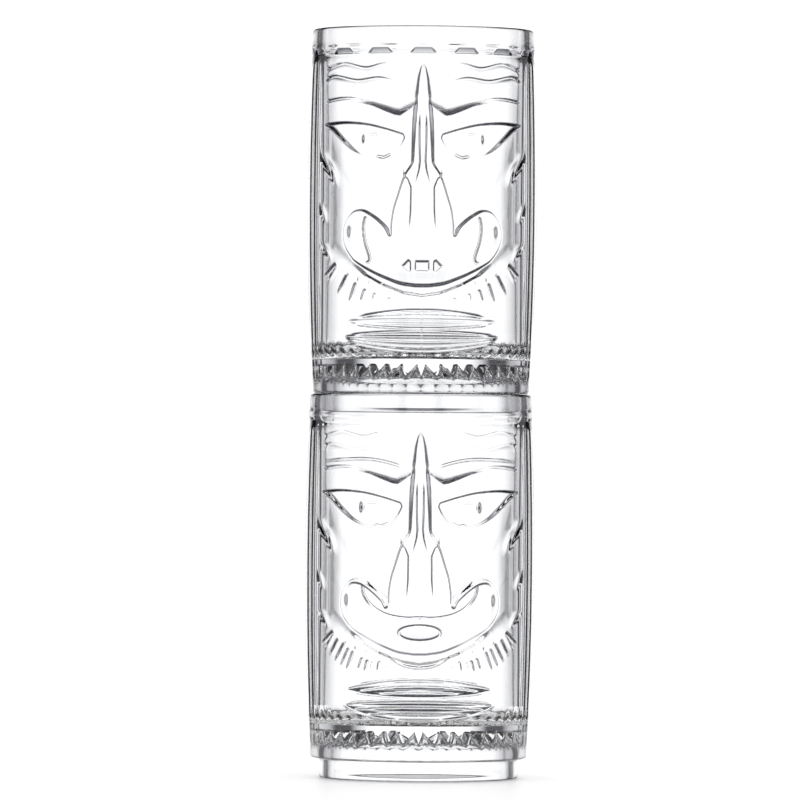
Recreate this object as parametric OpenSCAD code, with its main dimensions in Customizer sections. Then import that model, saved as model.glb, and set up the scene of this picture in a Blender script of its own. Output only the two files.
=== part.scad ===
// Two clear pressed-glass tiki tumblers, stacked: the upper foot sits in the lower rim.
// Millimetres. Origin: middle of the underside of the lower foot. +Z up, faces toward -Y.

/* [Tumbler] */
// Height of one tumbler, foot to rim
tumbler_h = 136.5; // [112:0.5:165]
// Outside radius at the widest part of the belly
belly_r = 41; // [34:0.5:50]
// Height of the widest part, as a share of the tumbler's height
belly_at = 0.55; // [0.45:0.01:0.65]
// How far the shoulder draws in from the belly
shoulder_in = 2.6; // [1.6:0.1:3.4]
// How far the neck below the rim collar draws in from the belly
neck_in = 1.35; // [0.6:0.05:2]

/* [Foot and nesting] */
// Height of the foot that drops into the rim below
foot_h = 7.1; // [5:0.1:8.6]
// How far the foot stands inside the belly radius
foot_in = 5.6; // [5:0.1:6.6]
// Radial play between a foot and the rim it nests in
nest_play = 0.4; // [0.2:0.05:0.5]
// Standing gap between the shoulder and the rim under it
seat_gap = 0.1; // [0.05:0.05:0.3]
// Width of the ledge inside the rim, under the foot
ledge_w = 1; // [0.6:0.1:1.6]
// Gap between the underside of a foot and the ledge below it
ledge_gap = 0.7; // [0.3:0.1:1.5]

/* [Cavity and base] */
// Thickness of glass between the cavity floor and the punt
floor_t = 6.5; // [5.5:0.5:10]
// Height of the hollow under the base
punt_h = 13; // [8:0.5:14]
// Width of the ring the glass stands on
ring_w = 3.7; // [3:0.1:5]
// Radius of the corner between cavity wall and floor
floor_round = 9; // [5:0.5:12]
// Draft of the cavity wall, rim to floor
draft = 0.5; // [0.2:0.1:1]
// Number of cut flutes around the punt
flutes = 36; // [24:1:40]
// Depth of each flute
flute_d = 1.4; // [0.8:0.1:2]

/* [Collar] */
// Height of the rim collar, top edge to neck
collar_h = 10.6; // [9.8:0.1:13]
// Number of trapezoid facets around the collar
facets = 16; // [12:1:20]
// Depth of each facet into the collar bead
facet_d = 0.6; // [0.3:0.05:0.8]

/* [Face] */
// How far the cheeks lie below the round of the body
cheek_d = 1.2; // [0.6:0.05:1.5]
// How far the eye sockets lie below the round of the body
socket_d = 2.5; // [1.8:0.1:3]
// How far the nose ridge stands above the round of the body
nose_up = 1.5; // [0.6:0.1:2]
// How far the nostril wings and lips stand above the round of the body
pad_up = 0.5; // [0.2:0.05:0.9]
// Depth of the carved lines
line_d = 0.7; // [0.4:0.05:1]
// Width of the carved forehead lines
line_w = 1; // [0.7:0.05:1.4]

/* [Hidden] */
$fn = 128;
kx = belly_r / 41;
kz = tumbler_h / 136.5;
belly_z = belly_at * tumbler_h;
shoulder_r = belly_r - shoulder_in;
neck_r = belly_r - neck_in;
neck_z = tumbler_h - collar_h;
collar_r = neck_r + 0.25;
rim_r = neck_r - 0.3;
foot_r = belly_r - foot_in;
bore_r = foot_r + nest_play;
bore_h = foot_h + ledge_gap;
cavity_r = bore_r - ledge_w;
punt_r = foot_r - ring_w;
floor_z = punt_h + floor_t;
stack_pitch = tumbler_h - foot_h + seat_gap;
facet_w = 0.34 * 360 / facets * PI / 180 * collar_r;
wall_in = cavity_r + 1.2;

// radius of the plain round body at height z
function round_r(z) = z < belly_z
    ? belly_r - shoulder_in * pow((belly_z - z) / (belly_z - foot_h), 2)
    : belly_r - neck_in * pow((z - belly_z) / (neck_z - belly_z), 2);

// quarter arc about [cx, cz] from angle a to angle b
function arc(cx, cz, r, a, b, n) = [for (i = [0 : n]) let (t = a + (b - a) * i / n)
    [cx + r * cos(t), cz + r * sin(t)]];

// a face point: sideways from the middle, and down from the rim
function at(p) = [p[0] * kx, tumbler_h - p[1] * kz];
function face(points) = [for (p = points) at(p)];
function mirrored(points) = [for (p = points) [-p[0], p[1]]];
function turned(points) = [for (i = [len(points) - 1 : -1 : 0]) points[i]];
function both_sides(half) = concat(half, turned(mirrored(half)));

// a strip of width w along a line of face points
function strip(line, w) = concat([for (p = line) [p[0], p[1] - w / 2]],
    [for (p = turned(line)) [p[0], p[1] + w / 2]]);

// the same for a line that runs mostly up and down, on side s
function strip_across(s, line) = concat([for (p = line) [s * (p[0] - line_w / 2), p[1]]],
    [for (p = turned(line)) [s * (p[0] + line_w / 2), p[1]]]);

// smooth curve through a few points, n steps between neighbours
function catmull(a, b, c, d, t) = 0.5 * (2 * b + (c - a) * t + (2 * a - 5 * b + 4 * c - d) * t * t
    + (3 * b - a - 3 * c + d) * t * t * t);
function smooth(p, n) = concat([for (i = [0 : len(p) - 2], k = [0 : n - 1])
    catmull(p[max(i - 1, 0)], p[i], p[i + 1], p[min(i + 2, len(p) - 1)], k / n)], [p[len(p) - 1]]);

forehead_line_1 = smooth([[34, 15.4], [28, 13.1], [19.7, 14.8], [13, 13.3], [7.7, 15.4]], 3);
forehead_line_2 = smooth([[34, 18.6], [30, 17.7], [22.5, 19.2], [14.5, 18.4], [7, 22]], 3);
eye_line = concat(smooth([[33.4, 34.2], [25.7, 33.8], [19.2, 34.4], [13.4, 36.2], [7.4, 38.6]], 2),
    smooth([[8, 42], [11.6, 45.5], [16.5, 46.7], [23.9, 44.2], [28.6, 40]], 2));
wing_line = concat(smooth([[11, 76], [12.8, 71.2], [18.7, 66.2], [22.5, 65], [26.6, 67.6], [28, 73.5],
    [24.6, 82], [18.5, 87.1], [11, 90.4], [0, 91.6]], 2), [[0, 76]]);
wing_fold = smooth([[20.6, 66.6], [20.9, 71], [20, 77], [16.6, 83]], 2);
nostril = [for (i = [0 : 7]) [25.2 + 0.9 * cos(i * 45), 72.4 + 2.1 * sin(i * 45)]];
nose_tip = [for (i = [0 : 11]) [7.4 * cos(i * 30), 84.4 + 2.7 * sin(i * 30)]];
philtrum = smooth([[-16, 90.8], [-8, 93.8], [0, 94.6], [8, 93.8], [16, 90.8]], 3);
// carved strokes beside the face: [middle azimuth, outer end depth, inner end depth, half length]
temple = [[57, 46.5, 53.8, 7.4], [61, 57, 63.5, 6], [58, 66, 72, 5], [60, 78, 84, 5.5], [63, 88, 94, 6]];
cheek_line = [[33, 27], [33, 34], [31, 46], [29.5, 62], [31, 72], [29.5, 82], [23, 90],
    [12, 95.4], [0, 96.4], [0, 26], [7.6, 29.6], [13, 28], [18.5, 26.6], [26, 25.8]];
mouth_line = smooth([[-30, 105.5], [-20, 101.8], [0, 99.2], [20, 101.8], [30, 105.5],
    [20, 114.4], [0, 117.4], [-20, 114.4]], 2);
upper_lip = both_sides(smooth([[0, 99.8], [14, 100.6], [26.6, 103.3], [14, 105.2], [0, 105.6]], 3));
lower_lip = both_sides(smooth([[0, 107.2], [14, 107.6], [27.4, 109.6], [14, 113.6], [0, 115]], 3));
// one moustache hair: [root x, root depth, tip x, tip depth]
hairs = [[29.6, 83.2, 34, 88.2], [26.4, 87.4, 29.8, 94.2], [23.3, 90, 25.8, 97.4],
    [20.1, 92.4, 21.7, 97.6], [16.6, 94, 17.2, 97.6], [11.6, 95.4, 12.3, 98.2]];
// nose sections from brow to tip: [depth, half width at the foot and on the ridge, share of height]
nose = [[13.4, 1.3, 0.2, 0], [24, 3, 0.6, 0.6], [34, 4, 1.2, 0.7], [48.7, 5, 2, 0.7],
    [56, 7.8, 3.4, 0.75], [66, 10.8, 4.2, 0.8], [74, 11.6, 5.6, 0.9], [84, 11.8, 7.6, 1],
    [91.2, 8.8, 5, 0.2]];

module foot_and_body() {
    rotate_extrude() polygon(concat(
        [[0, 0]], arc(foot_r - 1, 1, 1, -90, 0, 3), [[foot_r, foot_h]],
        arc(shoulder_r - 1.2, foot_h + 1.2, 1.2, -90, 0, 3),
        [for (i = [1 : 14]) let (z = foot_h + 1.2 + (neck_z - foot_h - 1.2) * i / 14) [round_r(z), z]],
        [[neck_r - 0.2, neck_z + 0.6], [collar_r - 0.1, tumbler_h - 0.81 * collar_h],
         [collar_r, tumbler_h - 0.7 * collar_h], [collar_r - 0.25, tumbler_h - 0.53 * collar_h]],
        arc(rim_r - 1.1, tumbler_h - 1.1, 1.1, 0, 90, 3), [[0, tumbler_h]]));
}

module cavity() {
    rotate_extrude() polygon(concat(
        [[0, floor_z]], arc(cavity_r - draft - floor_round, floor_z + floor_round, floor_round, -90, 0, 6),
        [[cavity_r, tumbler_h - bore_h - 0.8], [bore_r, tumbler_h - bore_h], [bore_r, tumbler_h - 0.7],
         [bore_r + 0.2, tumbler_h - 0.2], [bore_r + 0.7, tumbler_h], [bore_r + 0.7, tumbler_h + 1],
         [0, tumbler_h + 1]]));
}

module punt() {
    rotate_extrude() polygon(concat(
        [[0, -1], [punt_r + 0.8, -1], [punt_r + 0.8, 0], [punt_r + 0.25, 0.25], [punt_r, 0.9]],
        arc(punt_r - 0.5 - 3, punt_h - 3, 3, 0, 90, 4), [[punt_r - 12, punt_h + 0.2], [0, punt_h + 0.6]]));
    for (i = [0 : flutes - 1]) rotate([0, 0, (i + 0.5) * 360 / flutes])
        translate([0, -punt_r + 1.6, punt_h - 1]) rotate([-90, 0, 0])
            linear_extrude(height = 7.6) polygon([[-2.1, 0], [0, -flute_d - 1], [2.1, 0]]);
}

module collar_facets() {
    for (i = [0 : facets - 1]) rotate([0, 0, i * 360 / facets])
        translate([0, -collar_r + facet_d, 0]) rotate([90, 0, 0]) linear_extrude(height = 4)
            polygon([for (p = [[-1, 0.9], [1, 0.9], [0.57, 0.66], [-0.57, 0.66]])
                [p[0] * facet_w, tumbler_h - p[1] * collar_h]]);
}

// everything in front of the axis inside an outline on the face, turned a degrees round the body
module through(outline, a = 0) {
    rotate([0, 0, a]) rotate([90, 0, 0]) linear_extrude(height = belly_r + 6) polygon(face(outline));
}

// the round body grown by up, from depth d0 to depth d1, n steps
module shell_of(up, d0, d1, n) {
    z0 = tumbler_h - d1 * kz;
    z1 = tumbler_h - d0 * kz;
    rotate_extrude() polygon(concat([[wall_in, z0]],
        [for (i = [0 : n]) let (z = z0 + (z1 - z0) * i / n) [round_r(z) + up, z]], [[wall_in, z1]]));
}

// everything outside the round body sunk by down, from depth d0 to depth d1, n steps
module outside_of(down, d0, d1, n) {
    z0 = tumbler_h - d1 * kz;
    z1 = tumbler_h - d0 * kz;
    rotate_extrude() polygon(concat([[belly_r + 4, z0], [belly_r + 4, z1]],
        [for (i = [n : -1 : 0]) let (z = z0 + (z1 - z0) * i / n) [round_r(z) - down, z]]));
}

module pad(outline, up, d0, d1, n) {
    intersection() {
        through(outline);
        shell_of(up, d0, d1, n);
    }
}

module carve(outline, down, d0, d1, n, a = 0) {
    intersection() {
        through(outline, a);
        outside_of(down, d0, d1, n);
    }
}

// a lip: a ridge round the body at depth d, fading to both edges
module lip(outline, d0, d, d1) {
    intersection() {
        through(outline);
        rotate_extrude() polygon([[wall_in, tumbler_h - d1 * kz], [round_r(tumbler_h - d1 * kz) - 1.2,
            tumbler_h - d1 * kz], [round_r(tumbler_h - d * kz) + pad_up, tumbler_h - d * kz],
            [round_r(tumbler_h - d0 * kz) - 1.2, tumbler_h - d0 * kz], [wall_in, tumbler_h - d0 * kz]]);
    }
}

module nose_block() {
    n = len(nose);
    back = -(cavity_r + 1.2) * cos(20);
    points = [for (s = nose) let (z = tumbler_h - s[0] * kz, ridge = -round_r(z) - nose_up * s[3] + 0.1)
        for (p = [[-s[1] * kx, back], [-s[2] * kx, ridge], [s[2] * kx, ridge], [s[1] * kx, back]])
            [p[0], p[1], z]];
    sides = [for (i = [0 : n - 2], k = [0 : 3]) let (a = 4 * i + k, b = 4 * i + (k + 1) % 4)
        for (t = [[a, b, a + 4], [b, b + 4, a + 4]]) t];
    polyhedron(points = points, faces = concat([[3, 2, 1, 0]], sides,
        [[4 * n - 4, 4 * n - 3, 4 * n - 2, 4 * n - 1]]));
}

module eyeball(side) {
    intersection() {
        through(side > 0 ? eye_line : mirrored(eye_line));
        rotate([0, 0, side * 28]) translate([0, -belly_r + 0.9 + 13, tumbler_h - 39 * kz]) sphere(r = 13);
    }
}

// one rounded hair groove from root to tip
module hair(h) {
    a = h[2] - h[0];
    b = h[3] - h[1];
    l = sqrt(a * a + b * b);
    nx = b / l;
    nd = -a / l;
    carve([[h[0] + 0.4 * nx, h[1] + 0.4 * nd], [h[2] + 0.75 * nx, h[3] + 0.75 * nd - 0.6],
        [h[2] + 0.3 * a / l, h[3] + 0.3 * b / l], [h[2] - 0.75 * nx, h[3] - 0.75 * nd - 0.6],
        [h[0] - 0.4 * nx, h[1] - 0.4 * nd]], line_d + 0.5, h[1] - 2, h[3] + 2, 2);
}

module tumbler() {
    difference() {
        union() {
            difference() {
                foot_and_body();
                carve(cheek_line, cheek_d, 20, 98, 8);
                carve(mirrored(cheek_line), cheek_d, 20, 98, 8);
                carve(mouth_line, cheek_d, 98, 118.5, 3);
                for (s = [-1, 1]) carve(s > 0 ? eye_line : mirrored(eye_line), socket_d, 32, 48, 2);
            }
            for (s = [-1, 1]) pad(s > 0 ? wing_line : mirrored(wing_line), pad_up, 62, 93, 4);
            lip(upper_lip, 99, 102.4, 106);
            lip(lower_lip, 106.8, 111, 115.6);
            nose_block();
            for (s = [-1, 1]) eyeball(s);
        }
        for (s = [-1, 1]) {
            carve(strip(s > 0 ? forehead_line_1 : mirrored(forehead_line_1), line_w), line_d, 10.8, 17, 2);
            carve(strip(s > 0 ? forehead_line_2 : mirrored(forehead_line_2), line_w), line_d, 16, 24, 2);
        }
        for (h = hairs) {
            hair(h);
            mirror([1, 0, 0]) hair(h);
        }
        carve(strip(philtrum, 0.9), line_d, 88, 96, 2);
        for (s = [-1, 1]) {
            carve(strip_across(s, wing_fold), line_d - pad_up, 64, 86, 3);
            carve(s > 0 ? nostril : mirrored(nostril), line_d, 68, 76, 1);
            for (t = temple) carve([[-t[3], t[2] - 0.3], [t[3], t[1] - 0.8], [t[3], t[1] + 0.8],
                [-t[3], t[2] + 0.3]] , line_d, t[1] - 2, t[2] + 2, 2, s * t[0]);
        }
        carve(nose_tip, -0.5 * nose_up, 80, 89, 1);
        collar_facets();
        cavity();
        punt();
    }
}

module lower_tumbler() {
    color([0.86, 0.93, 0.95, 0.6]) tumbler();
}

module upper_tumbler() {
    color([0.9, 0.95, 0.97, 0.6]) translate([0, 0, stack_pitch]) tumbler();
}

lower_tumbler();
upper_tumbler();
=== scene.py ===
import math

import bpy
import numpy as np
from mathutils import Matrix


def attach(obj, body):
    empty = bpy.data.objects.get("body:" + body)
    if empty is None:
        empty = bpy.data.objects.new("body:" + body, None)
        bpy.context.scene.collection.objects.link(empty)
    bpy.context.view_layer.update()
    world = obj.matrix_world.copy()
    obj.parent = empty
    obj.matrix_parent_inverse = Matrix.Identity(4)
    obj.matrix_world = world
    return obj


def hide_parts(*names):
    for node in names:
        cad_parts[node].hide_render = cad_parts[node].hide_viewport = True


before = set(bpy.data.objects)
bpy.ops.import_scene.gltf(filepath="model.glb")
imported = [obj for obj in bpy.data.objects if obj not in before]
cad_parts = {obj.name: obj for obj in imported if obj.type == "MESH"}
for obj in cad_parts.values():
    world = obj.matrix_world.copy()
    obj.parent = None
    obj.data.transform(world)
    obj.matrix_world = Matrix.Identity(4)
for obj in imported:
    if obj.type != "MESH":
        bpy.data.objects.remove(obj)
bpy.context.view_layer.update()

# Sizes of one tumbler in millimetres, with heights above the underside of its foot. All are the CAD part's, except
# that there FLOOR_Z is 19.5, PUNT_H 13, FLUTE_D 1.4 and every facet 0.6 deep.
H, BELLY_R, BELLY_Z, SHOULDER_IN, NECK_IN = 136.5, 41.0, 75.075, 2.6, 1.35
FOOT_H, FOOT_R, BORE_R, CAVITY_R, PUNT_R = 7.1, 35.4, 35.8, 34.8, 31.7
COLLAR_H, FLOOR_Z, PUNT_H, PITCH = 10.6, 19.6, 13.4, 129.5
NECK_Z = H - COLLAR_H
SHOULDER_R, NECK_R = BELLY_R - SHOULDER_IN, BELLY_R - NECK_IN
COLLAR_R, RIM_R = NECK_R + 0.25, NECK_R - 0.3
SOCKET_H = 7.8
DRAFT = 0.5
FLUTES, FLUTE_D = 36, 4.4
FACETS, UPPER_FACET_D, LOWER_FACET_D = 16, 0.95, 0.15

# spacing of the mesh over the face, and points round the plain and the fluted rings
FINE = 0.33
PLAIN_COLS = 288
PUNT_COLS = 720


def round_r(z):
    """Radius of the plain round body at height z."""
    low = BELLY_R - SHOULDER_IN * ((BELLY_Z - z) / (BELLY_Z - FOOT_H)) ** 2
    high = BELLY_R - NECK_IN * ((z - BELLY_Z) / (NECK_Z - BELLY_Z)) ** 2
    return np.where(z < BELLY_Z, low, high)


def smooth(t):
    """0 to 1 with soft corners."""
    t = np.clip(t, 0, 1)
    return t * t * (3 - 2 * t)


def even(t):
    """0 to 1 along a nearly straight slope with its corners softened."""
    return 0.55 * np.clip(t, 0, 1) + 0.45 * smooth(t)


def lerp(x, xs, ys):
    return np.interp(x, xs, ys)


def bump(x, width):
    """A bell, 1 in the middle."""
    return np.exp(-((x / width) ** 2))


def curve(points, n=10):
    """Smooth line through a few (sideways, depth below the rim) points on the face, in millimetres."""
    p = np.array(points, float)
    q = np.vstack([2 * p[0] - p[1], p, 2 * p[-1] - p[-2]])
    t = np.linspace(0, 1, n, endpoint=False)[:, None]
    out = [
        0.5 * (2 * b + (c - a) * t + (2 * a - 5 * b + 4 * c - d) * t**2 + (3 * b - a - 3 * c + d) * t**3)
        for a, b, c, d in zip(q[:-3], q[1:-2], q[2:-1], q[3:])
    ]
    return np.vstack(out + [p[-1:]])


def both_halves(half):
    """A closed outline from its right half, which runs from the top of the middle line to the bottom."""
    return np.vstack([half, half[::-1] * [-1, 1]])


def wrapped(line):
    """The same line with its sideways sizes measured round the body, as seen from the front."""
    line = np.array(line, float)
    r = round_r(H - line[:, 1])
    return np.column_stack([r * np.arcsin(np.clip(line[:, 0] / r, -0.999, 0.999)), line[:, 1]])


class Field:
    """Height of the face above the round body, over points at arc length s and depth d."""

    def __init__(self, s, d):
        self.s, self.d = s, d
        self.h = np.zeros_like(s)

    def near(self, line, reach):
        """Which points lie in the box round a line."""
        lo, hi = line.min(0) - reach, line.max(0) + reach
        return np.nonzero((self.s > lo[0]) & (self.s < hi[0]) & (self.d > lo[1]) & (self.d < hi[1]))[0]

    def distance(self, line, reach):
        """Which points are near a line, how far from it (negative on its left), and how far along it (0 to 1)."""
        i = self.near(line, reach)
        p = np.column_stack([self.s[i], self.d[i]])
        best, along, left = np.full(len(i), 1e9), np.zeros(len(i)), np.zeros(len(i), bool)
        length = np.concatenate([[0], np.cumsum(np.linalg.norm(np.diff(line, axis=0), axis=1))])
        for a, b, l0, l1 in zip(line[:-1], line[1:], length[:-1], length[1:]):
            v = b - a
            t = np.clip((p - a) @ v / max(v @ v, 1e-9), 0, 1)
            e = np.hypot(*(p - a - t[:, None] * v).T)
            closer = e < best
            best[closer], along[closer] = e[closer], ((l0 + t * (l1 - l0)) / length[-1])[closer]
            left[closer] = ((p - a) @ [v[1], -v[0]])[closer] > 0
        return i, np.where(left, -best, best), along

    def inside(self, outline, reach):
        """Signed distance to a closed outline, positive inside."""
        ring = np.vstack([outline, outline[:1]])
        i, e, _ = self.distance(ring, reach)
        e, x, y = np.abs(e), self.s[i], self.d[i]
        odd = np.zeros(len(i), bool)
        for (x0, y0), (x1, y1) in zip(ring[:-1], ring[1:]):
            if y0 != y1:
                odd ^= ((y0 > y) != (y1 > y)) & (x < x0 + (y - y0) * (x1 - x0) / (y1 - y0))
        return i, np.where(odd, e, -e)

    def groove(self, points, depth, width, start_taper=0.2, end_taper=0.2):
        """A carved line on both sides of the face, tapering out at its ends. A negative depth raises it."""
        for side in (-1, 1):
            i, e, t = self.distance(wrapped(points) * [side, 1], 3 * width)
            taper = smooth(t / max(start_taper, 1e-6)) * smooth((1 - t) / max(end_taper, 1e-6))
            self.h[i] -= depth * taper * bump(e, width)

    def cut(self, points, depth, steep, soft, start_taper=0.15, end_taper=0.6):
        """A leaf-shaped stroke on both sides: steep toward the rim, running out softly on the other side."""
        for side in (-1, 1):
            i, e, t = self.distance(wrapped(points) * [side, 1], 2.5 * soft)
            taper = smooth(t / start_taper) * smooth((1 - t) / end_taper)
            self.h[i] -= depth * taper * bump(e, np.where(e * side > 0, soft, steep))

    def hollow(self, middle, depth, half_width, half_height):
        """A soft round-bottomed dent on both sides of the face."""
        for side in (-1, 1):
            s, d = wrapped([middle])[0] * [side, 1]
            self.h -= depth * bump(self.s - s, half_width) * bump(self.d - d, half_height)

    def blend(self, outline, level, bevel, sides=(-1, 1)):
        """Inside an outline, the height becomes level(sideways, depth, height there), over an even slope."""
        for side in sides:
            i, e = self.inside(wrapped(outline) * [side, 1], bevel)
            self.h[i] += even(e / bevel * 0.5 + 0.5) * (level(self.s[i] * side, self.d[i], self.h[i]) - self.h[i])


# The right half of the face, which is mirrored: outlines and lines through (sideways, depth below the rim) points in
# millimetres.
FOREHEAD_LINES = [
    [(34.2, 15.2), (28.0, 13.3), (20.4, 15.0), (13.4, 13.6), (7.4, 15.8)],
    [(34.4, 19.2), (31.2, 17.7), (23.4, 19.4), (15.4, 18.6), (8.6, 20.6), (6.6, 22.8)],
]
LOW_FOREHEAD_LINE = [(34.0, 24.0), (26.0, 23.1), (17.0, 23.1), (9.0, 24.8), (5.2, 26.6)]
BROW_LINE = [(34.2, 26.6), (29.0, 25.7), (24.0, 25.8), (19.0, 27.2)]
UPPER_LID = [(34.0, 34.6), (28.0, 34.1), (21.0, 34.7), (14.6, 36.2), (7.4, 38.3)]
UNDER_EYE = [(6.8, 39.6), (8.4, 42.6), (11.0, 45.6), (15.4, 46.9), (20.4, 46.2), (24.6, 43.9), (28.4, 40.2),
             (31.6, 36.6)]
TEAR_LINE = [(11.2, 45.0), (14.4, 46.5), (17.6, 45.8)]
EYE_GLINT = [(15.0, 38.4), (18.6, 38.2), (21.6, 39.0)]
PUPIL = (22.6, 40.0)
NOSE_AND_WINGS = [(2.6, 46.5), (3.3, 48.4), (5.5, 51.4), (7.2, 54.8), (8.9, 60.1), (10.3, 64.7), (11.1, 70), (11.3, 74),
                  (13.0, 71.2), (15.6, 68.6), (18.2, 66.7), (21.3, 65.1), (24.4, 65.6), (27.0, 68.8), (28.0, 73.4),
                  (27.2, 77.7), (25.1, 81.5), (22.7, 83.8), (16.8, 87.1), (12.5, 89.0), (7.8, 90.7), (2.3, 91.5)]
WING_RIM = [(11.3, 75.6), (13.2, 72.0), (18.2, 67.5), (21.4, 66.0), (24.4, 66.4), (26.8, 69.6)]
UPPER_FOLD = [(19.9, 67.0), (20.6, 71.4), (19.9, 76.4), (18.3, 81.6), (18.9, 83.4), (20.6, 83.6)]
LOWER_FOLD = [(20.2, 66.6), (19.4, 70.9), (16.2, 75.0), (11.4, 77.6), (4.9, 78.7), (0, 78.5)]
TIP_MIDDLE_FACET = [(-2.7, 82.6), (2.7, 82.6), (2.7, 86.7), (-2.7, 86.7)]
TIP_SIDE_FACET = [(3.6, 83.0), (4.8, 82.0), (7.4, 84.8), (4.6, 87.3), (3.6, 86.4)]
TIP_OVAL = (84.2, 7.4, 2.7)  # depth of its middle, half width, half height
PHILTRUM = [(11.2, 91.4), (9.2, 93.4), (5.0, 95.5), (0, 96.3)]
# moustache hairs: root, tip, depth
HAIRS = [
    ((30.2, 83.4), (34.4, 88.2), 0.7), ((30.4, 84), (33.2, 90.2), 0.6), ((26.4, 87.4), (29.8, 94.6), 0.75),
    ((23.3, 90.0), (25.8, 97.9), 0.7), ((20.1, 92.4), (21.7, 97.7), 0.6), ((16.8, 94.0), (17.2, 97.6), 0.4),
    ((11.6, 95.6), (12.3, 98.4), 0.35),
]
MORE_HAIRS = [
    ((28.6, 86.0), (31.6, 92.6), 0.7), ((24.8, 89.0), (27.8, 96.4), 0.7), ((18.4, 93.2), (19.4, 98.4), 0.7),
    ((14.2, 93.6), (14.8, 98.6), 0.6),
]
HAIR_ROOTS = [(25.9, 88.1), (22.3, 89.4), (18.4, 90.6), (14.8, 91.9), (10.5, 93.7)]
# ribbed lips: depth at the corners, at the top, along the ridge and at the bottom, and half width
LIPS = [(104.0, 100.1, 103.2, 106.5, 28.5), (109.3, 107.6, 110.0, 115.2, 29.5)]
# lines of the lips: how far they reach sideways, depth at their ends, depth in the middle, how deep they are cut
LIP_LINES = [
    (21.5, 102.4, 100.2, 0.62), (23.0, 102.8, 101.3, 0.45), (26.5, 104.0, 103.5, 0.32), (26.5, 104.3, 105.0, 0.32),
    (24.0, 105.0, 106.6, 0.5), (25.5, 109.0, 107.6, 0.65), (27.5, 109.5, 109.5, 0.75), (27.0, 110.0, 111.5, 0.34),
    (26.0, 110.8, 113.3, 0.34), (24.5, 112.0, 115.0, 0.42),
]
# upright ribs beside the face: how far round the body, and height
SIDE_RIBS = [(44.8, 0.22), (49.4, 0.26), (54.0, 0.2)]
# strokes over them: outer end, inner end, depth, how wide they run out
SIDE_STROKES = [
    ((36.6, 43.5), (29.4, 57.5), 0.75, 2.2), ((34.0, 46.5), (30.0, 55.5), 0.5, 1.4),
    ((36.6, 62.0), (33.6, 70.0), 0.4, 1.6), ((35.8, 76.5), (31.4, 83.0), 0.6, 1.5),
]


def carve_brow_and_cheeks(f, a):
    """The brow overhangs the eyes. Below it the cheeks lie under the round of the body, down to the moustache."""
    top = lerp(a, [0, 7.2, 8.6, 13, 18, 25, 37, 44], [24.2, 27.8, 28.8, 27.5, 26.2, 25.5, 26.2, 27.4])
    low = lerp(a, [0, 6.4, 8.6, 10.5, 14, 19, 26, 37, 44], [26.4, 30.6, 31.8, 31.6, 30.4, 28.4, 26.9, 27.0, 28.0])
    brow = lerp(a, [0, 5, 8.5, 13, 19, 25, 31], [1.2, 1.5, 2.5, 2.4, 1.4, 0.35, 0])
    cheek = lerp(a, [0, 13, 24, 33, 37], [1.7, 1.6, 1.0, 0.3, 0])
    sunk = brow + (cheek - brow) * smooth((f.d - 32) / 16)
    lip_top = lerp(a, [0, 6.5, 14.1, 20.9, 26.4, 34, 42], [95.0, 94.0, 91.2, 87.8, 83.6, 79, 77])
    under_brow = np.clip((f.d - top) / (low - top), 0, 1) ** 1.7
    f.h -= sunk * under_brow * even((lip_top - f.d) / lerp(a, [0, 20, 34], [1.12, 1.3, 6]) + 0.5)
    f.groove(curve(BROW_LINE), 0.6, 0.38, 0.1, 0.5)


def carve_eyes(f, lower):
    """A step down under the lid, rising again to the lower rim, with a pupil."""
    inner_rise, pupil_depth = (0.4, 0.9) if lower else (0.8, 0.6)

    def socket(x, y, h):
        rise = np.clip((y - 35.2) / 10.5, 0, 1) * lerp(x, [22, 31], [inner_rise, 0.3])
        return h - 1.15 * (1 - rise) - pupil_depth * bump(x - PUPIL[0], 0.7) * bump(y - PUPIL[1], 1.7)

    f.blend(np.vstack([curve(UPPER_LID), curve(UNDER_EYE)]), socket, 0.4)
    f.groove(TEAR_LINE, 0.62, 0.35)
    f.groove(EYE_GLINT, 0.4, 0.3, 0.4, 0.4)


def carve_forehead(f, lower):
    for line in FOREHEAD_LINES:
        f.cut(curve(line), 0.3 if lower else 0.6, 0.9, 0.36, 0.06, 0.35)
    if lower:
        f.groove(curve(LOW_FOREHEAD_LINE), 0.6, 0.45, 0.3, 0.1)


def raise_bridge(f, a):
    """Bridge of the nose: a narrow plateau between even flanks, on a faint skirt."""
    d = f.d
    edge = lerp(d, [13, 15, 19, 26, 35, 47], [0.05, 0.5, 1.1, 1.6, 2.2, 2.8])
    foot = lerp(d, [13, 15, 19, 26, 35, 46, 50], [0.2, 1.15, 2.0, 3.1, 3.9, 4.3, 4.3])
    skirt = foot + lerp(d, [13, 20, 30, 50], [0.1, 0.7, 1.0, 1.2])
    ridge = lerp(d, [13, 15, 19, 24, 26, 34, 46], [0, 0.85, 1.4, 1.9, 1.6, 1.4, 0.42])
    base = f.h + 0.35 * even((skirt - a) / (skirt - foot)) * smooth((d - 13) / 6) * smooth((52 - d) / 3)
    bridge = base + (ridge - base) * np.clip((foot - a) / (foot - edge), 0, 1)
    f.h = np.where((d > 13) & (d < 50), np.maximum(base, bridge), f.h)


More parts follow.
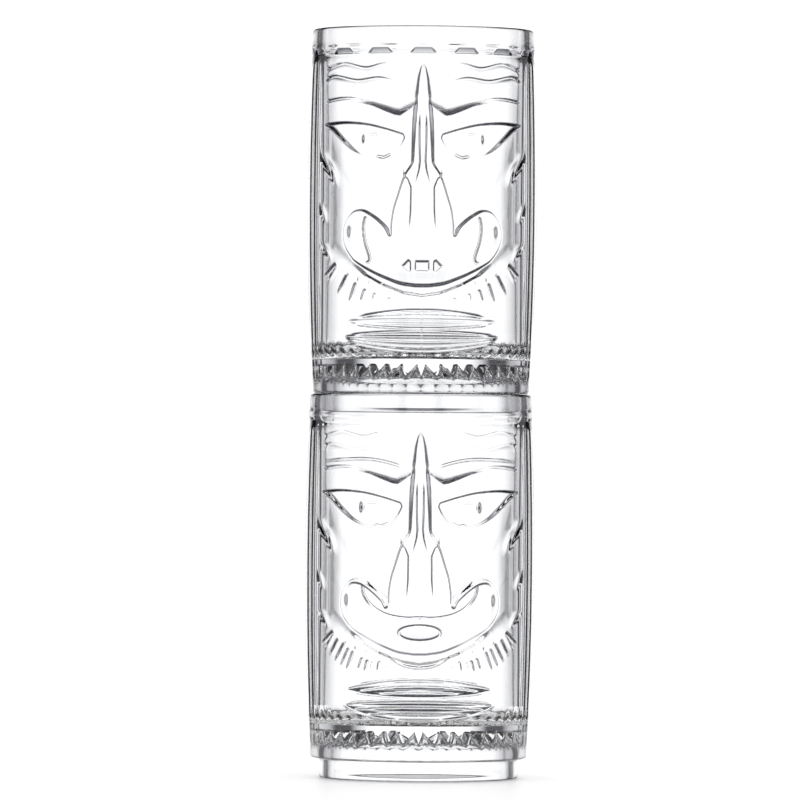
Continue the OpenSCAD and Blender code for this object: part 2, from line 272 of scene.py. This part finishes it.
def raise_nose_and_wings(f, a, lower):
    """Lower nose, nostril wings and tip: one plateau with a crisp edge, and the front plane of the nose."""

    def plateau(x, y, h):
        bulb = 1.1 * smooth((y - 70) / 12) * smooth((92 - y) / 9) * bump(x, 12.0)
        return 0.15 + bulb + 0.27 * smooth((52 - y) / 4) - (1.2 if lower else 0) * smooth((y - 78) / 10)

    f.blend(both_halves(curve(NOSE_AND_WINGS, 5)), plateau, 0.58, sides=(1,))
    half = lerp(f.d, [50, 52.6, 54, 57, 65, 72, 80], [7.0, 7.0, 5.2, 4.0, 4.1, 4.6, 6.5])
    rise = lerp(f.d, [46, 52, 57, 66, 72, 78], [0, 0.75, 1.3, 1.2, 0.5, 0])
    f.h += rise * even((half - a) / 0.9 + 0.5)
    # a fine ridge along the middle of the bridge
    half = lerp(f.d, [28, 34, 39, 48, 51, 54.6, 60], [1.0, 1.15, 1.2, 0.95, 1.3, 2.2, 3.2])
    rise = lerp(f.d, [28, 36, 47, 52, 60], [0, 1.4, 1.4, 1.0, 0])
    f.h += rise * even((half - a) / 0.9 + 0.5)


def carve_nostrils_and_tip(f, lower):
    """The tip of the nose is a flat oval on the lower glass, with raised wing rims, and three facets on the upper."""
    if lower:
        f.groove(curve(WING_RIM), -1.15, 0.7, 0.05, 0.4)
        f.groove(curve(LOWER_FOLD), 0.75, 0.4, 0.05, 0.0)
    else:
        f.groove(curve(UPPER_FOLD), 0.75, 0.4, 0.05, 0.12)
    f.hollow((24.0, 75.0), 0.35, 2.2, 5.0)
    f.hollow((25.4, 72.4), 0.55, 0.8, 1.6)
    if lower:
        depth, half_width, half_height = TIP_OVAL
        turns = np.linspace(0, 2 * math.pi, 24, endpoint=False)
        oval = np.column_stack([half_width * np.cos(turns), depth + half_height * np.sin(turns)])
        i, e = f.inside(oval, 1.8)
        f.h[i] -= 0.75 * bump(e, 0.45)
    else:
        for facet, side in ((TIP_MIDDLE_FACET, 1), (TIP_SIDE_FACET, 1), (TIP_SIDE_FACET, -1)):
            i, e = f.inside(np.array(facet) * [side, 1], 1.8)
            f.h[i] -= 0.9 * even(e / 0.8)


def carve_moustache(f, lower):
    if lower:
        f.groove(curve(PHILTRUM), 0.8, 0.4, 0.25, 0)
    for root, tip, depth in HAIRS + (MORE_HAIRS if lower else []):
        f.cut([root, tip], depth, 0.3, 0.9, 0.2, 0.5)
    for root in HAIR_ROOTS:
        f.hollow(root, 0.35, 0.45, 0.9)


def raise_lip(f, a, corner_d, top_d, ridge_d, bottom_d, wide):
    """A ribbed lens across the face."""
    u = np.clip(1 - (a / wide) ** 2, 0, 1)
    top, bottom, ridge = (corner_d + (d - corner_d) * u for d in (top_d, bottom_d, ridge_d))
    t = np.where(f.d < ridge, (ridge - f.d) / (ridge - top + 1e-3), (f.d - ridge) / (bottom - ridge + 1e-3))
    rib = ((f.d - top) / 2.2) % 1
    rise = 0.2 + 0.3 * np.clip(1 - t, 0, 1) + 1.35 * np.minimum(1 - rib, rib / 0.18)
    f.h += even(np.minimum(f.d - top, bottom - f.d) / 0.6) * (a < wide) * smooth(u * 5) * rise


def carve_lips(f, a, lower):
    """Ribbed lips on the lower glass, and arcs drawn round the lips on both."""
    if lower:
        for lip in LIPS:
            raise_lip(f, a, *lip)
    for reach, end_d, middle_d, depth in LIP_LINES:
        x = np.linspace(reach, 0, 12)
        line = np.column_stack([x, middle_d + (end_d - middle_d) * (x / reach) ** 2])
        f.groove(line, depth * (0.6 if lower else 1), 0.36, 0.12, 0)


def carve_sides(f, a):
    for at, high in SIDE_RIBS:
        f.h += high * bump(a - at, 0.9) * smooth((f.d - 11) / 4) * smooth((126 - f.d) / 4)
    for outer, inner, depth, soft in SIDE_STROKES:
        f.cut([outer, inner], depth, 0.8, soft, 0.4, 0.6)


def relief(s, d, lower):
    """The carved face: height in millimetres at arc length s (from the nose) and depth d (from the rim)."""
    f = Field(s, d)
    a = np.abs(s)
    carve_brow_and_cheeks(f, a)
    carve_eyes(f, lower)
    carve_forehead(f, lower)
    raise_bridge(f, a)
    raise_nose_and_wings(f, a, lower)
    carve_nostrils_and_tip(f, lower)
    carve_moustache(f, lower)
    carve_lips(f, a, lower)
    carve_sides(f, a)
    return f.h


def rounded(points, n=5):
    """A profile of (r, z) points with each corner rounded by its third number."""
    out = []
    for k, (r, z, q) in enumerate(points):
        p = np.array([r, z])
        if q <= 0 or k in (0, len(points) - 1):
            out.append(p)
            continue
        u, v = np.array(points[k - 1][:2]) - p, np.array(points[k + 1][:2]) - p
        lu, lv = np.linalg.norm(u), np.linalg.norm(v)
        short = min(q, 0.49 * lu, 0.49 * lv)
        a, b = p + u / lu * short, p + v / lv * short
        out += [(1 - t) ** 2 * a + 2 * t * (1 - t) * p + t * t * b for t in np.linspace(0, 1, n)]
    return out


def filled(points, step):
    """The same profile with points added so that none are further apart than step."""
    out = [np.array(points[0])]
    for a, b in zip(points[:-1], points[1:]):
        m = max(1, int(math.ceil(np.linalg.norm(b - a) / step)))
        out += [a + (b - a) * k / m for k in range(1, m + 1)]
    return out


class Shell:
    """Rings of points round the axis, joined in order into a mesh. A ring holds its points and their angles."""

    def __init__(self):
        self.verts, self.faces = [], []

    def ring(self, cols, r, z):
        first = len(self.verts)
        r, z = np.broadcast_to(r, cols.shape), np.broadcast_to(z, cols.shape)
        self.verts.extend(zip(r * np.sin(cols), -r * np.cos(cols), z))
        return np.arange(first, first + len(cols)), cols

    def join(self, p, q):
        """Quads, or triangles where the counts differ, between two rings; q comes after p along the profile."""
        (i, ca), (j, cb) = p, q
        na, nb = len(i), len(j)
        if na == nb:
            k = np.roll(np.arange(na), -1)
            self.faces.extend(zip(i, i[k], j[k], j))
            return
        ca, cb = np.append(ca, ca[0] + 2 * math.pi), np.append(cb, cb[0] + 2 * math.pi)
        a = b = 0
        while a < na or b < nb:
            if b >= nb or (a < na and ca[a + 1] <= cb[b + 1]):
                self.faces.append((i[a % na], i[(a + 1) % na], j[b % nb]))
                a += 1
            else:
                self.faces.append((i[a % na], j[(b + 1) % nb], j[b % nb]))
                b += 1

    def chain(self, rings):
        for p, q in zip(rings[:-1], rings[1:]):
            self.join(p, q)

    def cap(self, ring, z, first):
        """Close the first ring of the profile, or the last, with a fan to a point on the axis."""
        middle = len(self.verts)
        self.verts.append((0, 0, z))
        for a, b in zip(ring[0], np.roll(ring[0], -1)):
            self.faces.append((middle, b, a) if first else (middle, a, b))


def face_columns():
    """Angles round the body from the back: fine over the face, wider at the sides and round the back."""
    mean_r, face_end, side_end = 40.8, 40, 57
    arcs = [0.0]
    for reach, step in ((face_end, FINE), (side_end, 1.6 * FINE), (math.pi * mean_r, 2.4)):
        arcs += list(np.linspace(arcs[-1], reach, int((reach - arcs[-1]) / step) + 2)[1:])
    half_turn = np.array(arcs) / mean_r
    return np.concatenate([-half_turn[:0:-1], half_turn[:-1]])


def cavity_rings(shell, cols):
    """From the middle of the cavity's floor up to the flat of the rim. The floor's corner is faintly rippled."""
    profile = rounded([(0.6, FLOOR_Z, 0), (20, FLOOR_Z, 0), (CAVITY_R - DRAFT, FLOOR_Z, 7), (CAVITY_R, H - 12.2, 1.5),
                       (BORE_R, H - SOCKET_H, 0.8), (BORE_R, H, 0.9), (37.2, H, 0)], 9)
    ripple = 0.5 * np.cos(48 * cols) * np.sin(cols) ** 2
    return [shell.ring(cols, r, z + ripple * (FLOOR_Z + 0.3 < z < FLOOR_Z + 5)) for r, z in filled(profile, 3.0)]


def collar_rings(shell, cols, lower):
    """From the flat of the rim down over the collar. Trapezoid facets cut its underside back."""
    profile = rounded([(37.3, H, 0), (RIM_R, H, 1.2), (COLLAR_R - 0.25, H - 5.6, 1.0), (COLLAR_R, H - 7.4, 0.5),
                       (COLLAR_R - 0.1, H - 9.2, 0.4), (NECK_R - 0.08, NECK_Z + 0.3, 0.5),
                       (NECK_R + 0.02, NECK_Z - 0.6, 0)], 5)
    facet_d = LOWER_FACET_D if lower else UPPER_FACET_D
    pitch = 2 * math.pi / FACETS
    off = np.abs((cols + pitch / 2) % pitch - pitch / 2) * COLLAR_R
    rings = []
    for r, z in filled(profile, 0.3)[:-1]:
        down = (H - 7.6 - z) / 2.2
        inside = smooth((2.8 + 1.9 * down - off) / 0.35 + 0.5) * (0 <= down <= 1)
        rings.append(shell.ring(cols, r - facet_d * down * inside, z))
    return rings


def face_rings(shell, cols, lower):
    """The carved body, from the neck down to the shoulder over the foot."""
    z_rows = np.concatenate([np.arange(NECK_Z - 0.6, 18, -FINE), np.arange(17.5, FOOT_H + 1.6, -1.0)])
    z = np.repeat(z_rows, len(cols))
    r = round_r(z)
    r = r + relief(np.tile(cols, len(z_rows)) * r, H - z, lower)
    return [shell.ring(cols, r[k * len(cols):(k + 1) * len(cols)], row) for k, row in enumerate(z_rows)]


def foot_rings(shell, cols):
    profile = rounded([(float(round_r(FOOT_H + 1.6)), FOOT_H + 1.5, 0), (SHOULDER_R + 0.02, FOOT_H, 1.1),
                       (FOOT_R, FOOT_H, 0.35), (FOOT_R, 0, 1.0), (34.0, 0, 0)], 6)
    return [shell.ring(cols, r, z) for r, z in filled(profile, 1.5)]


def punt_rings(shell, cols):
    """From the flat of the foot ring up into the punt, with lopsided flutes round the edge of its ceiling."""
    profile = rounded([(33.6, 0, 0), (PUNT_R + 0.3, 0, 0.7), (PUNT_R, PUNT_H, 2.0), (PUNT_R - 11, PUNT_H + 0.15, 2),
                       (0.6, PUNT_H + 0.6, 0)], 8)
    turn = (np.where(np.sin(cols) > 0, 1, -1) * cols * FLUTES / (2 * math.pi)) % 1
    flute = FLUTE_D * np.minimum(turn / 0.25, (1 - turn) / 0.75)
    return [shell.ring(cols, r, z + flute * smooth((r - 20.5) / 6.0) * (z > PUNT_H - 1.2))
            for r, z in filled(profile, 1.0)]


def tumbler_mesh(name, lift, lower):
    """One tumbler as a single closed mesh: cavity, rim, face, foot and punt."""
    shell = Shell()
    face_cols = face_columns()
    plain_cols, punt_cols = (np.linspace(face_cols[0], face_cols[0] + 2 * math.pi, n, endpoint=False)
                             for n in (PLAIN_COLS, PUNT_COLS))
    rings = cavity_rings(shell, plain_cols)
    outer = collar_rings(shell, face_cols, lower) + face_rings(shell, face_cols, lower) + foot_rings(shell, face_cols)
    punt = punt_rings(shell, punt_cols)
    shell.cap(rings[0], FLOOR_Z, first=True)
    shell.chain(rings + outer[:1])
    shell.chain(outer + punt[:1])
    shell.chain(punt)
    shell.cap(punt[-1], PUNT_H + 0.6, first=False)
    mesh = bpy.data.meshes.new(name)
    verts = (np.array(shell.verts) + [0, 0, lift]) / 1000
    mesh.from_pydata(verts.tolist(), [], [tuple(int(k) for k in f[::-1]) for f in shell.faces])
    mesh.update()
    mesh.shade_smooth()
    obj = bpy.data.objects.new(name, mesh)
    bpy.context.scene.collection.objects.link(obj)
    return obj


def glass_material():
    m = bpy.data.materials.new("clear_glass")
    m.use_nodes = True
    nodes, links = m.node_tree.nodes, m.node_tree.links
    p = nodes["Principled BSDF"]
    p.inputs["Base Color"].default_value = (0.991, 0.993, 0.995, 1)
    p.inputs["Transmission Weight"].default_value = 1.0
    p.inputs["IOR"].default_value = 1.52
    p.inputs["Roughness"].default_value = 0.0
    where = nodes.new("ShaderNodeTexCoord")
    wave = nodes.new("ShaderNodeTexNoise")
    wave.inputs["Scale"].default_value = 60.0
    wave.inputs["Detail"].default_value = 1.0
    unevenness = nodes.new("ShaderNodeBump")
    unevenness.inputs["Strength"].default_value = 0.02
    unevenness.inputs["Distance"].default_value = 0.001
    links.new(where.outputs["Object"], wave.inputs["Vector"])
    links.new(wave.outputs["Fac"], unevenness.inputs["Height"])
    links.new(unevenness.outputs["Normal"], p.inputs["Normal"])
    return m


glass = glass_material()
for name, body, lift in (("lower_glass", "lower", 0.0), ("upper_glass", "upper", PITCH)):
    o = tumbler_mesh(name, lift, body == "lower")
    o.data.materials.append(glass)
    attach(o, body)
    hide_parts(body + "_tumbler")

# Studio: a ring of lit panels with dark gaps, dark above and below, in front of a plain white backdrop.
scene = bpy.context.scene
scene.view_settings.view_transform = "Standard"
scene.cycles.max_bounces = 32
scene.cycles.transmission_bounces = 32
world = bpy.data.worlds.new("studio")
scene.world = world
world.use_nodes = True
nodes, links = world.node_tree.nodes, world.node_tree.links

# grey of the panels by angle in degrees from straight behind the glasses, the same on either side
PANELS = [(0, 1.0), (12, 0.98), (19, 0.86), (24, 0.5), (28, 0.04), (38, 0.02), (43, 0.4), (56, 0.6), (64, 0.35),
          (74, 0.2), (82, 0.92), (103, 0.92), (108, 0.25), (115, 0.25), (121, 0.92), (150, 0.92), (155, 0.25),
          (161, 0.25), (167, 0.92)]
# grey by height: 0 straight down, 0.5 level, 1 straight up
HEIGHTS = [(0.2, 0.3), (0.31, 0.08), (0.357, 0.8), (0.41, 0.95), (0.46, 1.0), (0.53, 1.0), (0.58, 0.8), (0.64, 0.2),
           (0.69, 0.03), (1.0, 0.1)]


def math_node(op, *values):
    """A math node over numbers and other nodes' outputs."""
    n = nodes.new("ShaderNodeMath")
    n.operation = op
    for socket, v in zip(n.inputs, values):
        if isinstance(v, (int, float)):
            socket.default_value = v
        else:
            links.new(v, socket)
    return n.outputs[0]


def ramp_node(stops, value):
    """A grey ramp through (position, grey) stops, faintly cool in the darks."""
    n = nodes.new("ShaderNodeValToRGB")
    while len(n.color_ramp.elements) < len(stops):
        n.color_ramp.elements.new(0.5)
    for e, (at, v) in zip(n.color_ramp.elements, stops):
        e.position, e.color = at, (v, v, v ** 0.94, 1)
    links.new(value, n.inputs["Fac"])
    return n.outputs["Color"]


def mix_node(blend, factor, a, b):
    """A colour mix; factor and b are each a value or another node's output."""
    n = nodes.new("ShaderNodeMix")
    n.data_type = "RGBA"
    n.blend_type = blend
    links.new(a, n.inputs["A"])
    for socket, v in ((n.inputs["Factor"], factor), (n.inputs["B"], b)):
        if isinstance(v, (float, tuple)):
            socket.default_value = v
        else:
            links.new(v, socket)
    return n.outputs["Result"]


direction = nodes.new("ShaderNodeSeparateXYZ")
links.new(nodes.new("ShaderNodeTexCoord").outputs["Generated"], direction.inputs[0])
azimuth = math_node("ABSOLUTE", math_node("ARCTAN2", direction.outputs["X"], direction.outputs["Y"]))
panels = ramp_node([(at / 180, v) for at, v in PANELS], math_node("MULTIPLY", azimuth, 1 / math.pi))
heights = ramp_node(HEIGHTS, math_node("MULTIPLY_ADD", direction.outputs["Z"], 0.5, 0.5))
lit = mix_node("MULTIPLY", 1.0, panels, heights)
seen = nodes.new("ShaderNodeLightPath").outputs["Is Camera Ray"]
background = nodes["Background"]
background.inputs["Strength"].default_value = 1.2
links.new(mix_node("MIX", seen, lit, (1.0, 1.0, 1.0, 1.0)), background.inputs["Color"])

# a small round pale floor, so that the glass is seen against the backdrop and not against white ground
FLOOR_R, FLOOR_SIDES = 0.24, 96
floor_mesh = bpy.data.meshes.new("floor")
turns = [2 * math.pi * k / FLOOR_SIDES for k in range(FLOOR_SIDES)]
floor_mesh.from_pydata([(FLOOR_R * math.cos(t), FLOOR_R * math.sin(t), 0) for t in turns], [],
                       [tuple(range(FLOOR_SIDES))])
floor = bpy.data.objects.new("floor", floor_mesh)
floor.location.z = -0.0002
scene.collection.objects.link(floor)
floor_white = bpy.data.materials.new("floor_white")
floor_white.use_nodes = True
white = floor_white.node_tree.nodes["Principled BSDF"]
white.inputs["Base Color"].default_value = (0.95, 0.95, 0.95, 1)
white.inputs["Roughness"].default_value = 0.35
white.inputs["Emission Color"].default_value = (1, 1, 1, 1)
white.inputs["Emission Strength"].default_value = 0.36
floor_mesh.materials.append(floor_white)

# one soft light from above, for the floor
lamp_data = bpy.data.lights.new("overhead", "SUN")
lamp_data.energy = 2.6
lamp_data.angle = math.radians(70)
lamp = bpy.data.objects.new("overhead", lamp_data)
lamp.visible_transmission = lamp.visible_glossy = False
scene.collection.objects.link(lamp)

# camera, level with the middle of the stack
DISTANCE, FIELD_WIDTH, SENSOR = 2.70, 0.2849, 36
cam_data = bpy.data.cameras.new("camera")
cam_data.sensor_width = SENSOR
cam_data.lens = SENSOR * DISTANCE / FIELD_WIDTH
cam_data.clip_end = 50
cam = bpy.data.objects.new("camera", cam_data)
cam.location = (-0.0074, -DISTANCE, 0.1343)
cam.rotation_euler = (math.radians(90), math.radians(-0.41), 0)
scene.collection.objects.link(cam)
scene.camera = cam
